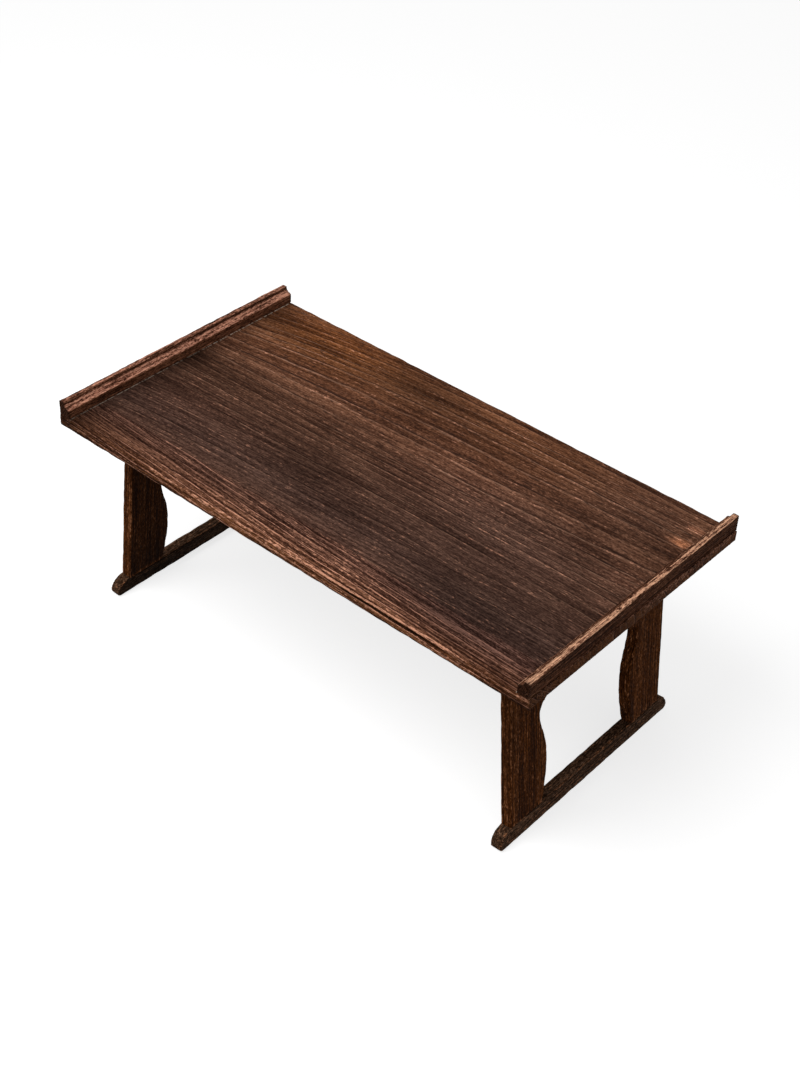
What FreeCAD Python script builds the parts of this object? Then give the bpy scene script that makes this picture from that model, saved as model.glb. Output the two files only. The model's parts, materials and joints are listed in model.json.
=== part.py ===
# Folding low table: a thin planked top with a stepped ledge on each end, on two splayed leg
# frames that fold inwards, flat under the top, on butt hinges.
# Millimetres. +Z is up, +X runs along the table, -Y is its front. The origin is on the floor,
# under the middle of the top.
import FreeCAD, Part
import math
import os

Vector = FreeCAD.Vector

# Top
table_height = 250.0  # floor to the ridges of the ledges
top_length = 600.0
top_width = 320.0
top_thickness = 13.0
front_plank_width = 43.0
middle_plank_width = 72.0
top_arris = 2.0  # rounding of the long upper edges
bottom_arris = 1.5  # rounding of the lower edges, all round

# Ledges, one standing on each end of the top
ledge_height = 17.0
ledge_width = 13.0
ledge_setback = 1.0  # in from the end of the top
ridge_width = 6.5
riser_height = 4.4  # from the ridge down to the step
step_fall = 2.6  # the step's slope towards the middle of the table
step_cove = 4.0  # hollow at the foot of the riser
ledge_arris = 0.8

# Leg frames, measured along the slope of the leg
splay = 5.7  # degrees that a leg leans outwards
leg_inset = 50.0  # end of the top to a frame's outer face, at the underside
leg_stock = 13.0
leg_arris = 1.5
frame_width = 240.0
rail_drop = 71.0  # hinge line to the lower edge of the rail
cove_radius = 19.0
waist_width = 43.5
swell_width = 50.3
swell_place = 0.245  # share of the way from the waist to the foot
belly_width = 54.6
belly_place = 0.555  # share of the way from the waist to the foot
foot_width = 48.0
runner_height = 20.0
runner_nose = 16.0  # the quarter-round end of a runner, past the post
stop_gap = 0.1  # top of a leg to the underside it bears on

# Tenons of the leg frames
tenon_thickness = 5.0
tenon_clearance = 0.1
foot_tenon_shoulder = 9.0  # on each side of the tenon
mortise_floor = 8.0  # of the runner left under a post's tenon
rail_tenon_length = 14.0
rail_tenon_margin = 13.0  # up from the lower edge of the rail
rail_tenon_cover = 5.0  # down from the end of the hinge leaf

# Butt hinges
hinge_length = 50.0
leaf_width = 17.0  # from the hinge line
leaf_thickness = 1.2
pin_diameter = 2.6
pin_clearance = 0.05
pin_head_lip = 0.7  # of a peened head, past the pin all round
pin_head_thickness = 0.8
knuckle_count = 3
knuckle_gap = 0.2
knuckle_clearance = 0.3  # knuckle to the wood on either side

# Countersunk screws
screw_clearance = 0.05
screw_point = 2.0
recess_width = 0.7
recess_depth = 0.6
hinge_screw_head = 5.0
hinge_screw_shank = 2.8
hinge_screw_cover = 4.2  # wood left beyond the tip
hinge_screws_per_leaf = 3
ledge_screw_head = 6.0
ledge_screw_shank = 3.2
ledge_screw_cover = 2.0  # wood left beyond the tip, under the low side of the step
back_plank_screws = 3

# Heights and places that follow from the sizes above
surface = table_height - ledge_height
underside = surface - top_thickness
front_edge = -top_width / 2
front_joint = front_edge + front_plank_width
middle_joint = front_joint + middle_plank_width
step_top = ledge_height - riser_height
step_bottom = step_top - step_fall
knuckle_radius = pin_diameter / 2 + pin_clearance + leaf_thickness
hinge_offset = knuckle_radius + knuckle_clearance  # hinge line to the underside and to the leg
leaf_root = knuckle_radius + knuckle_gap
head_width = waist_width + cove_radius
waist_drop = rail_drop + cove_radius
frame_edge = -frame_width / 2
rail_half = frame_width / 2 - head_width
hinge_start = frame_edge + (head_width - hinge_length) / 2
lean_sin = math.sin(math.radians(splay))
lean_cos = math.cos(math.radians(splay))
outer_face = hinge_offset + leg_stock
hinge_z = underside - hinge_offset
outer_rise = (hinge_offset - outer_face * lean_sin) / lean_cos
hinge_x = top_length / 2 - leg_inset - outer_face * lean_cos + outer_rise * lean_sin
runner_drop = (hinge_z + outer_face * lean_sin) / lean_cos - runner_height
spare = 3 * leg_stock  # left on a leg before its ends are cut to the underside and the floor
hinge_screw_length = leaf_thickness + min(leg_stock, top_thickness) - hinge_screw_cover
ledge_screw_length = top_thickness + step_bottom - ledge_screw_cover

along_x = Vector(1, 0, 0)
along_y = Vector(0, 1, 0)
along_z = Vector(0, 0, 1)
centre = Vector(0, 0, 0)
to_top = (along_z, -along_x)  # seat and run of the hinge leaf on the underside
to_leg = (along_x, -along_z)  # seat and run of the hinge leaf on the leg
tolerance = 1e-4


def same(a, b):
    return abs(a - b) < tolerance


def box(low, high):
    corner = Vector(min(low.x, high.x), min(low.y, high.y), min(low.z, high.z))
    size = high - low
    return Part.makeBox(abs(size.x), abs(size.y), abs(size.z), corner)


def line(a, b):
    return Part.LineSegment(a, b).toShape()


def turned(profile):
    points = [Vector(radius, 0, height) for radius, height in profile]
    face = Part.Face(Part.makePolygon(points + points[:1]))
    return face.revolve(centre, along_z, 360)


def middle_of(edge):
    return edge.valueAt((edge.FirstParameter + edge.LastParameter) / 2)


def mirrored(shape, normal):
    return shape.mirror(centre, normal)


# A front piece and its copy at the back
def both_rows(shape):
    return [shape, mirrored(shape, along_y)]


def in_rows(shapes):
    return [copy for shape in shapes for copy in both_rows(shape)]


# A right-hand piece and its copy on the left
def both_sides(shape):
    return [shape, mirrored(shape, along_x)]


# Moves a piece from the hinge line's own axes to the right-hand hinge line
def to_hinge(shape):
    placed = shape.copy()
    placed.translate(Vector(hinge_x, 0, hinge_z))
    return placed


# Leans a piece of the upright leg frame outwards, in its place on the right
def stand(shape):
    leaning = shape.copy()
    leaning.rotate(centre, along_y, -splay)
    return to_hinge(leaning)


# Cuts the top of a standing leg to the underside and its bottom to the floor
def trim(shape):
    reach = top_length + top_width
    level = underside - stop_gap
    upper = box(Vector(-reach, -reach, level), Vector(reach, reach, level + 2 * spare))
    lower = box(Vector(-reach, -reach, -2 * spare), Vector(reach, reach, 0))
    return shape.cut(upper).cut(lower)


def whole_board():
    half = Vector(top_length / 2, top_width / 2, 0)
    board = box(-half + along_z * underside, half + along_z * surface)
    lower = [e for e in board.Edges if same(middle_of(e).z, underside)]
    board = board.makeFillet(bottom_arris, lower)
    upper = [
        e for e in board.Edges
        if same(middle_of(e).z, surface) and same(abs(middle_of(e).y), top_width / 2)
    ]
    return board.makeFillet(top_arris, upper)


def plank(board, near, far, holes):
    reach = Vector(top_length, 0, 0)
    strip = box(Vector(0, near, underside) - reach, Vector(0, far, surface) + reach)
    return board.common(strip).cut(holes)


# The right-hand ledge: ridge on the outside, then the riser, the worn step and the inner face
def ledge(holes):
    section = [
        (0, 0),
        (0, ledge_height),
        (ridge_width, ledge_height),
        (ridge_width, step_top),
        (ledge_width, step_bottom),
        (ledge_width, 0),
    ]
    outside = top_length / 2 - ledge_setback
    points = [Vector(outside - inset, front_edge, surface + rise) for inset, rise in section]
    strip = Part.Face(Part.makePolygon(points + points[:1])).extrude(along_y * top_width)

    def riser_foot(point):
        return same(point.x, outside - ridge_width) and same(point.z, surface + step_top)

    # The other edges that run along the ledge, apart from the seat
    def rounded(point):
        return same(point.y, 0) and not same(point.z, surface) and not riser_foot(point)

    strip = strip.makeFillet(ledge_arris, [e for e in strip.Edges if rounded(middle_of(e))])
    strip = strip.makeFillet(step_cove, [e for e in strip.Edges if riser_foot(middle_of(e))])
    return strip.cut(holes)


# Extrudes an outline on the leg frame's inner face through the stock, and rounds the arrises
# that show
def leg_piece(outline, hidden):
    solid = Part.Face(Part.Wire(outline)).extrude(along_x * leg_stock)
    arrises = [
        e for e in solid.Edges
        if same(e.Vertexes[0].X, e.Vertexes[-1].X) and not hidden(middle_of(e))
    ]
    return solid.makeFillet(leg_arris, arrises)


# A point on the leg frame's inner face: in from the front post's outer edge, down from the hinge line
def on_leg(inset, drop):
    return Vector(hinge_offset, frame_edge + inset, -drop)


# A tenon or, with a clearance, its mortise: centred in the stock, between two corners on the leg
def tenon(low, high, clearance):
    to_middle = along_x * (leg_stock / 2)
    grow = Vector(tenon_thickness / 2 + clearance, clearance, clearance)
    return box(low + to_middle - grow, high + to_middle + grow)


# The front post's tenon in the runner
def foot_tenon(clearance=0.0):
    low = on_leg(foot_tenon_shoulder, runner_drop + runner_height - mortise_floor)
    high = on_leg(foot_width - foot_tenon_shoulder, runner_drop)
    return tenon(low, high, clearance)


# The rail's tenon in the front post
def rail_tenon(clearance=0.0):
    low = on_leg(head_width - rail_tenon_length, rail_drop - rail_tenon_margin)
    high = on_leg(head_width, leaf_width + rail_tenon_cover)
    return tenon(low, high, clearance)


# The front post: straight outside, with an S-curve inside that runs into the rail in a cove
def post(holes):
    head = on_leg(0, -spare)
    foot = on_leg(0, runner_drop)
    heel = on_leg(foot_width, runner_drop)
    waist = on_leg(waist_width, waist_drop)
    span = runner_drop - waist_drop
    belly = on_leg(belly_width, waist_drop + belly_place * span)
    swell = on_leg(swell_width, waist_drop + swell_place * span)
    turn = cove_radius * math.sqrt(0.5)
    cove_middle = on_leg(head_width - turn, waist_drop - turn)
    cove_end = on_leg(head_width, rail_drop)
    shoulder = on_leg(head_width, -spare)
    curve = Part.BSplineCurve()
    curve.interpolate(
        Points=[heel, belly, swell, waist],
        Tangents=[along_z] * 4,
        TangentFlags=[False, True, False, True],  # upright at the belly and the waist
    )
    outline = [
        line(head, foot),
        line(foot, heel),
        curve.toShape(),
        Part.Arc(waist, cove_middle, cove_end).toShape(),
        line(cove_end, shoulder),
        line(shoulder, head),
    ]

    def hidden(point):
        cut_end = same(point.z, foot.z) or same(point.z, head.z)
        return cut_end or same(point.y, shoulder.y)

    solid = leg_piece(outline, hidden).fuse(foot_tenon()).removeSplitter()
    return trim(stand(solid.cut(holes + [rail_tenon(tenon_clearance)])))


def rail(holes):
    corners = [
        Vector(hinge_offset, -rail_half, spare),
        Vector(hinge_offset, -rail_half, -rail_drop),
        Vector(hinge_offset, rail_half, -rail_drop),
        Vector(hinge_offset, rail_half, spare),
    ]
    outline = [line(a, b) for a, b in zip(corners, corners[1:] + corners[:1])]
    solid = leg_piece(outline, lambda point: not same(point.z, -rail_drop))
    solid = solid.fuse(both_rows(rail_tenon())).removeSplitter()
    return trim(stand(solid.cut(holes)))


# A straight bar with quarter-round ends
def runner():
    turn = runner_nose * math.sqrt(0.5)
    bottom = runner_drop + runner_height + spare
    toe = on_leg(-runner_nose, bottom)
    nose_low = on_leg(-runner_nose, runner_drop + runner_nose)
    nose_middle = on_leg(-turn, runner_drop + runner_nose - turn)
    nose_high = on_leg(0, runner_drop)

    def back(point):
        return Vector(point.x, -point.y, point.z)

    outline = [
        line(toe, nose_low),
        Part.Arc(nose_low, nose_middle, nose_high).toShape(),
        line(nose_high, back(nose_high)),
        Part.Arc(back(nose_high), back(nose_middle), back(nose_low)).toShape(),
        line(back(nose_low), back(toe)),
        line(back(toe), toe),
    ]
    solid = leg_piece(outline, lambda point: same(point.z, -bottom))
    return trim(stand(solid.cut(both_rows(foot_tenon(tenon_clearance)))))


# One leaf of the front hinge, about the hinge line: seat points from the line to the wood, and
# run points along the leaf. Its knuckles are the first one named, and every second one after it.
def leaf(seat, run, first_knuckle):
    outer = seat * hinge_offset
    inner = seat * (hinge_offset - leaf_thickness)
    near_end = along_y * hinge_start
    far_end = along_y * (hinge_start + hinge_length)
    solid = box(inner + run * leaf_root + near_end, outer + run * leaf_width + far_end)
    pitch = hinge_length / knuckle_count
    for index in range(first_knuckle, knuckle_count, 2):
        near = hinge_start + index * pitch
        far = near + pitch
        if index > 0:
            near += knuckle_gap / 2
        if index < knuckle_count - 1:
            far -= knuckle_gap / 2
        barrel = Part.makeCylinder(knuckle_radius, far - near, along_y * near, along_y)
        web = box(inner + along_y * near, outer + run * leaf_root + along_y * far)
        solid = solid.fuse([barrel, web])
    bore_radius = pin_diameter / 2 + pin_clearance
    bore = Part.makeCylinder(bore_radius, hinge_length, near_end, along_y)
    return solid.cut(bore).removeSplitter()


# The front hinge's pin, peened at both ends
def hinge_pin():
    pin = Part.makeCylinder(pin_diameter / 2, hinge_length, along_y * hinge_start, along_y)
    head_radius = pin_diameter / 2 + pin_head_lip
    for near in (hinge_start - pin_head_thickness, hinge_start + hinge_length):
        pin = pin.fuse(Part.makeCylinder(head_radius, pin_head_thickness, along_y * near, along_y))
    return pin.removeSplitter()


# A countersunk screw pointing up from the origin, with a cross recess in its head
def screw(head, shank, length):
    taper = (head - shank) / 2
    profile = [(0, 0), (head / 2, 0), (shank / 2, taper), (shank / 2, length - screw_point), (0, length)]
    body = turned(profile)
    for x, y in ((shank, recess_width), (recess_width, shank)):
        half = Vector(x / 2, y / 2, recess_depth)
        body = body.cut(box(-half, half))
    return body


def screw_hole(head, shank, length):
    wide = head / 2 + screw_clearance
    narrow = shank / 2 + screw_clearance
    taper = (head - shank) / 2
    end = length + screw_clearance
    return turned([(0, -head), (wide, -head), (wide, 0), (narrow, taper), (narrow, end), (0, end)])


# Copies of a screw or hole along one leaf of the front hinge, driven towards the wood
def along_leaf(shape, seat, run):
    base = seat * (hinge_offset - leaf_thickness) + run * ((leaf_root + leaf_width) / 2)
    pitch = hinge_length / hinge_screws_per_leaf
    copies = []
    for index in range(hinge_screws_per_leaf):
        copy = shape.copy()
        if seat == along_x:
            copy.rotate(centre, along_y, 90)
        copy.translate(base + along_y * (hinge_start + (index + 0.5) * pitch))
        copies.append(copy)
    return copies


# Copies of a screw or hole under the right-hand ledge: one through each narrow plank, and a row
# through the back plank
def along_ledge(shape):
    pitch = (top_width / 2 - middle_joint) / back_plank_screws
    places = [(front_edge + front_joint) / 2, (front_joint + middle_joint) / 2]
    places += [middle_joint + pitch * (index + 0.5) for index in range(back_plank_screws)]
    copies = []
    for y in places:
        copy = shape.copy()
        copy.translate(Vector(top_length / 2 - ledge_setback - ledge_width / 2, y, underside))
        copies.append(copy)
    return copies


def save(name, shapes):
    shape = shapes[0] if len(shapes) == 1 else Part.makeCompound(shapes)
    shape.exportStep("parts/%s.step" % name)
    sound = shape.isValid() and all(solid.Volume > 0 for solid in shape.Solids)
    state = "sound" if sound else "NOT SOUND"
    print("%-28s %2d solids %11.1f mm3 %s" % (name, len(shape.Solids), shape.Volume, state))


# Saves right-hand solids, and their mirror images, as the right and left nodes
def save_sides(name, shapes):
    save(name % "right", shapes)
    save(name % "left", [mirrored(shape, along_x) for shape in shapes])


# Saves a right-hand front solid, and its mirror images, as the nodes of the four corners
def save_corners(name, shape):
    for row, copy in zip(("front", "back"), both_rows(shape)):
        save_sides(name % ("%s", row), [copy])


os.makedirs("parts", exist_ok=True)

# Screws, and the holes that they go into
hinge_screw_size = (hinge_screw_head, hinge_screw_shank, hinge_screw_length)
ledge_screw_size = (ledge_screw_head, ledge_screw_shank, ledge_screw_length)
hinge_hole = screw_hole(*hinge_screw_size)
top_leaf_holes = along_leaf(hinge_hole, *to_top)
leg_leaf_holes = along_leaf(hinge_hole, *to_leg)
ledge_holes = along_ledge(screw_hole(*ledge_screw_size))
right_holes = [to_hinge(hole) for hole in in_rows(top_leaf_holes)] + ledge_holes
plank_holes = [copy for hole in right_holes for copy in both_sides(hole)]

# Top
board = whole_board()
save("plank_front", [plank(board, front_edge, front_joint, plank_holes)])
save("plank_middle", [plank(board, front_joint, middle_joint, plank_holes)])
save("plank_back", [plank(board, middle_joint, top_width / 2, plank_holes)])
save_sides("ledge_%s", [ledge(ledge_holes)])
save_sides("ledge_screws_%s", along_ledge(screw(*ledge_screw_size)))

# Leg frames
save_corners("post_%s_%s", post(leg_leaf_holes))
save_sides("rail_%s", [rail(in_rows(leg_leaf_holes))])
save_sides("runner_%s", [runner()])

# Hinges
hinge_screw = screw(*hinge_screw_size)
save_corners("hinge_top_leaf_%s_%s", to_hinge(leaf(*to_top, 0).cut(top_leaf_holes)))
save_corners("hinge_leg_leaf_%s_%s", stand(leaf(*to_leg, 1).cut(leg_leaf_holes)))
save_corners("hinge_pin_%s_%s", to_hinge(hinge_pin()))
save_sides("hinge_top_screws_%s", [to_hinge(s) for s in in_rows(along_leaf(hinge_screw, *to_top))])
save_sides("hinge_leg_screws_%s", [stand(s) for s in in_rows(along_leaf(hinge_screw, *to_leg))])
print("hinge line: x %.4f, z %.4f" % (hinge_x, hinge_z))
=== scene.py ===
import json
import math

import bmesh
import bpy
import numpy as np
from mathutils import Matrix, Vector


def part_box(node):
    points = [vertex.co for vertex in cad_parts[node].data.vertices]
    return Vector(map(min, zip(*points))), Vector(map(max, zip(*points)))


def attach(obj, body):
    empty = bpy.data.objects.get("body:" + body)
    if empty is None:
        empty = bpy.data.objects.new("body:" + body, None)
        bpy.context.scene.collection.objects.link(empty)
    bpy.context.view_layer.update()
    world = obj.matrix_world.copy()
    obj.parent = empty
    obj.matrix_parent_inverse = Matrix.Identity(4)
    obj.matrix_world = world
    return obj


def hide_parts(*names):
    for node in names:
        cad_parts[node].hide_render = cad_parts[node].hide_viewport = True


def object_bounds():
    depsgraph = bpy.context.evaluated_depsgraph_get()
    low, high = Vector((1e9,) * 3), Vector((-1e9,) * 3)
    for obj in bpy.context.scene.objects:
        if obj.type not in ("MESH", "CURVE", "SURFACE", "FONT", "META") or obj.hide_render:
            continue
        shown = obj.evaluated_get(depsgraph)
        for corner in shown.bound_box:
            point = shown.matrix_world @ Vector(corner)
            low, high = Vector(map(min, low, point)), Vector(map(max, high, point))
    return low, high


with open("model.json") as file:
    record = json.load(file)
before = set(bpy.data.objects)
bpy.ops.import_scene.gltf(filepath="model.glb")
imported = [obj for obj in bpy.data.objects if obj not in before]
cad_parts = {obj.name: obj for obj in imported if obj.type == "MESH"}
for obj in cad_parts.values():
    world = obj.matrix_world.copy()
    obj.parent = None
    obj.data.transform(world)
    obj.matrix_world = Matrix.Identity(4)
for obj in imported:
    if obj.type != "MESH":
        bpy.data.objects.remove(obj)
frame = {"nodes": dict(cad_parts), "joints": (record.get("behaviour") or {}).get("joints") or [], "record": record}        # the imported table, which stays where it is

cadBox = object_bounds()
tableEnd = cadBox[1].x
tableEdge = cadBox[1].y
tiny = 1e-5
aligned = 0.999          # cosine from which two directions count as the same
print("frame loaded:", len(frame["nodes"]), "nodes")


# Figure of the wood

relief = {
    "lineFrom": 1.6, "lineFull": 0.8, "lineEnd": 0.3,     # in line widths before the end of a ring
    "slope": 0.3,                         # share of the height that comes slowly over the whole ring
}


def smoothStep(values, low, high):
    share = np.clip((values - low) / (high - low), 0, 1)
    return share * share * (3 - 2 * share)


def waver(spots, reach, seed, waves=7, slowest=0.35):
    # a smooth random swell of about -1 to 1, with its wavelength along, across and through the grain
    rng = np.random.default_rng(seed)
    total = np.zeros(len(spots))
    for _ in range(waves):
        turns = rng.uniform(slowest, 1.0, 3) * rng.choice((-1, 1), 3) / np.array(reach)
        total += np.sin(2 * math.pi * (spots @ turns + rng.uniform()))
    return total / math.sqrt(waves)


def nicksAt(spots, reach, seed):
    return np.clip(waver(spots, reach, seed), 0, 2)


def blob(spots, centre, reach):
    away = (spots[:, :2] - np.array(centre)) / np.array(reach)
    return np.exp(-(away ** 2).sum(1))


def ringCount(depth, gap, seed):
    # growth rings passed on the way to each depth, at uneven gaps
    rng = np.random.default_rng(seed)
    start, end = depth.min() - 2 * gap[1], depth.max() + gap[1]
    knots = start + np.cumsum(rng.uniform(gap[0], gap[1], int((end - start) / gap[0]) + 2))
    return np.interp(depth, knots, np.arange(len(knots)))


def ringsAt(spots, sideways, through, figure, seed, lift=0.0):
    # rings that lean through the stock, with a slow drift and a fine ripple
    lean = math.radians(figure["ringLean"])
    depth = sideways * math.cos(lean) + through * math.sin(lean)
    depth = depth + figure["drift"] * waver(spots, figure["driftReach"], seed)
    depth = depth + figure["ripple"] * waver(spots, figure["rippleReach"], seed + 1)
    return ringCount(depth + lift, figure["ringGap"], seed + 2)


def ringRidge(rings, line):
    # early wood is brushed out, and late wood stands as a line at the end of each ring
    share = rings % 1.0
    rise = smoothStep(share, 1 - relief["lineFrom"] * line, 1 - relief["lineFull"] * line)
    crest = rise * (1 - smoothStep(share, 1 - relief["lineEnd"] * line, 1.0))
    return relief["slope"] * share + (1 - relief["slope"]) * crest


# Meshes

cutTolerance = 1e-6


def only(kind, geom):
    return [g for g in geom if isinstance(g, kind)]


def allOf(bm):
    return bm.verts[:] + bm.edges[:] + bm.faces[:]


def block(low, high):
    bm = bmesh.new()
    bmesh.ops.create_cube(bm, size=1)
    bmesh.ops.scale(bm, vec=high - low, verts=bm.verts[:])
    bmesh.ops.translate(bm, vec=(low + high) / 2, verts=bm.verts[:])
    return bm


def prism(outline, run):
    # a flat outline, pulled out along a run
    bm = bmesh.new()
    face = bm.faces.new([bm.verts.new(spot) for spot in outline])
    pulled = bmesh.ops.extrude_face_region(bm, geom=[face])["geom"]
    bmesh.ops.translate(bm, vec=run, verts=only(bmesh.types.BMVert, pulled))
    bmesh.ops.recalc_face_normals(bm, faces=bm.faces[:])
    return bm


def edgesWhere(bm, test):
    # test takes an edge's middle and its run
    ends = [(e, e.verts[0].co, e.verts[1].co) for e in bm.edges]
    return [e for e, a, b in ends if test((a + b) / 2, b - a)]


def near(a, b):
    return abs(a - b) < tiny


def rounded(bm, edges, radius, segments):
    bmesh.ops.bevel(
        bm, geom=edges, offset=radius, offset_type="OFFSET", segments=segments, profile=0.5,
        affect="EDGES", material=-1, clamp_overlap=True,
    )


def gridAlong(bm, axis, step, shortest):
    # splits the edges that run along one axis, so that long faces become a grid
    runs = edgesWhere(bm, lambda mid, run: abs(run[axis]) > aligned * run.length and run.length > shortest)
    longest = max(e.calc_length() for e in runs)
    bmesh.ops.subdivide_edges(bm, edges=runs, cuts=max(1, round(longest / step) - 1), use_grid_fill=True)


def sliceAlong(bm, axis, step):
    # cuts right across a shape with curved sides, at even steps
    values = [v.co[axis] for v in bm.verts]
    low, high = min(values), max(values)
    count = max(2, round((high - low) / step))
    normal = Vector((axis == 0, axis == 1, axis == 2))
    for index in range(1, count):
        spot = normal * (low + (high - low) * index / count)
        bmesh.ops.bisect_plane(bm, geom=allOf(bm), dist=cutTolerance, plane_co=spot, plane_no=normal)


def trimAt(bm, spot, normal):
    # cuts off what lies beyond a plane and closes the cut
    cut = bmesh.ops.bisect_plane(
        bm, geom=allOf(bm), dist=cutTolerance, plane_co=spot, plane_no=normal, clear_outer=True)
    bmesh.ops.contextual_create(bm, geom=only(bmesh.types.BMEdge, cut["geom_cut"]))


def spotsOf(bm):
    return np.array([v.co for v in bm.verts])


def normalsOf(bm):
    bm.normal_update()
    return np.array([v.normal for v in bm.verts])


def brush(bm, normals, dips, grain, rings, finish):
    # sinks the surface by its dips, and keeps the figure on the vertices for the finish to read
    grainLayer = bm.verts.layers.float_vector.new("grain")
    ringLayer = bm.verts.layers.float.new("ring")
    finishLayer = bm.verts.layers.float_vector.new("finish")
    for index, vert in enumerate(bm.verts):
        vert.co -= Vector(normals[index] * dips[index])
        vert[grainLayer] = grain[index]
        vert[ringLayer] = rings[index]
        vert[finishLayer] = finish[index]


def asPiece(bm, name, node, body, material, sharpest=40):
    mesh = bpy.data.meshes.new(name)
    bm.to_mesh(mesh)
    bm.free()
    mesh.polygons.foreach_set("use_smooth", [True] * len(mesh.polygons))
    mesh.set_sharp_from_angle(angle=math.radians(sharpest))
    mesh.materials.append(material)
    piece = bpy.data.objects.new(name, mesh)
    bpy.context.scene.collection.objects.link(piece)
    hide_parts(node)
    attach(piece, body)
    return piece


# Shader nodes

def feed(tree, made, inputs):
    for key, value in inputs.items():
        if isinstance(value, bpy.types.NodeSocket):
            tree.links.new(value, made.inputs[key])
        else:
            made.inputs[key].default_value = value
    return made


def put(tree, kind, inputs, **settings):
    made = tree.nodes.new("ShaderNode" + kind)
    for name, value in settings.items():
        setattr(made, name, value)
    return feed(tree, made, inputs)


def calc(tree, operation, a, b=0.0):
    return put(tree, "Math", {0: a, 1: b}, operation=operation).outputs[0]


def ramp(tree, value, low, high, first=0.0, last=1.0):
    inputs = {"Value": value, "From Min": low, "From Max": high, "To Min": first, "To Max": last}
    return put(tree, "MapRange", inputs, interpolation_type="SMOOTHSTEP").outputs[0]


def mixed(tree, share, a, b):
    return put(tree, "Mix", {0: share, 6: a, 7: b}, data_type="RGBA").outputs[2]


def speckle(tree, position, scale, detail=2.0, rough=0.5):
    stretched = put(tree, "Mapping", {"Vector": position, "Scale": scale}).outputs[0]
    inputs = {"Vector": stretched, "Scale": 1.0, "Detail": detail, "Roughness": rough}
    return put(tree, "TexNoise", inputs).outputs["Fac"]


def attribute(tree, name):
    return put(tree, "Attribute", {}, attribute_name=name, attribute_type="GEOMETRY").outputs


def toned(tree, value, shades):
    # three shades, from the darkest to the palest
    made = put(tree, "ValToRGB", {"Fac": value})
    stops = made.color_ramp.elements
    stops.new(0.5)
    for stop, shade in zip(stops, shades):
        stop.color = shade
    return made.outputs["Color"]


def newGroup(name, inputs, outputs):
    tree = bpy.data.node_groups.new(name, "ShaderNodeTree")
    for socketName, kind in inputs.items():
        tree.interface.new_socket(socketName, in_out="INPUT", socket_type="NodeSocket" + kind)
    for socketName in outputs:
        tree.interface.new_socket(socketName, in_out="OUTPUT", socket_type="NodeSocketFloat")
    return tree, tree.nodes.new("NodeGroupInput").outputs, tree.nodes.new("NodeGroupOutput")


def newMaterial(name):
    material = bpy.data.materials.new(name)
    material.use_nodes = True
    tree = material.node_tree
    return material, tree, tree.nodes["Principled BSDF"]


ringFigure = {
    "crest": (1.5, 0.8), "crestEnd": (0.0, 0.35),         # in line widths before the end of a ring
    "groove": (1.7, 0.2),                 # in line widths after its start
    "weakest": 0.4, "strongFrom": 0.9,
    "fadeScale": (7, 60, 60), "fadeDetail": 3.0, "fadeEdge": (0.38, 0.60),
    "breakScale": (90, 900, 900), "breakEdge": (0.36, 0.56), "breakLeast": 0.25,
    "slope": 0.4,                         # of the tone over a ring, against the ring's own tone
}
fibreFigure = {                           # scale along and across the grain, detail, roughness and edge
    "Fleck": ((300, 950, 950), 3.0, 0.65, (0.34, 0.66)),
    "Streak": ((12, 420, 420), 3.0, 0.6, (0.34, 0.66)),
    "Pore": ((120, 1050, 1050), 1.0, 0.5, (0.56, 0.68)),
    "Blotch": ((150, 330, 330), 2.0, 0.5, (0.34, 0.66)),
    "Cloud": ((9, 28, 28), 3.0, 0.5, (0.3, 0.7)),
}
rubbing = {                               # weight and middle of each mark, and the edge of bare wood
    "marks": {"Fleck": (0.55, 0.5), "Streak": (0.45, 0.5), "Blotch": (0.65, 0.5), "Ridge": (0.55, 0.0)},
    "edge": (0.35, 0.95),
}


def ringGroup():
    # a pale line at the end of each ring, a burnt groove after it, and a tone of its own for each ring
    tree, given, out = newGroup(
        "growthRings", {"Ring": "Float", "Position": "Vector", "Line": "Float", "Fading": "Float"},
        ("Ridge", "Groove", "Band"))
    share = calc(tree, "FRACT", given["Ring"])
    toEnd = calc(tree, "DIVIDE", calc(tree, "SUBTRACT", 1.0, share), given["Line"])
    fromStart = calc(tree, "DIVIDE", share, given["Line"])
    rise = ramp(tree, toEnd, *ringFigure["crest"])
    crest = calc(tree, "MULTIPLY", rise, ramp(tree, toEnd, *ringFigure["crestEnd"]))
    ring = calc(tree, "FLOOR", given["Ring"])
    strength = put(tree, "TexWhiteNoise", {"W": ring}, noise_dimensions="1D").outputs["Value"]
    ownTone = put(tree, "TexWhiteNoise", {"W": calc(tree, "ADD", ring, 0.5)}, noise_dimensions="1D")
    fading = speckle(tree, given["Position"], ringFigure["fadeScale"], ringFigure["fadeDetail"])
    patchy = ramp(tree, fading, *ringFigure["fadeEdge"])
    breaks = speckle(tree, given["Position"], ringFigure["breakScale"])
    broken = ramp(tree, breaks, *ringFigure["breakEdge"], ringFigure["breakLeast"], 1.0)
    faded = calc(tree, "MULTIPLY", given["Fading"], calc(tree, "SUBTRACT", 1.0, patchy))
    kept = calc(tree, "SUBTRACT", 1.0, faded)
    own = ramp(tree, strength, 0.0, ringFigure["strongFrom"], ringFigure["weakest"], 1.0)
    strong = calc(tree, "MULTIPLY", own, kept)
    ridge = calc(tree, "MULTIPLY", calc(tree, "MULTIPLY", crest, broken), strong)
    groove = calc(tree, "MULTIPLY", ramp(tree, fromStart, *ringFigure["groove"]), strong)
    band = put(tree, "Mix", {0: ringFigure["slope"], 2: ownTone.outputs["Value"], 3: share}).outputs[0]
    feed(tree, out, {"Ridge": ridge, "Groove": groove, "Band": band})
    return tree


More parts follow.
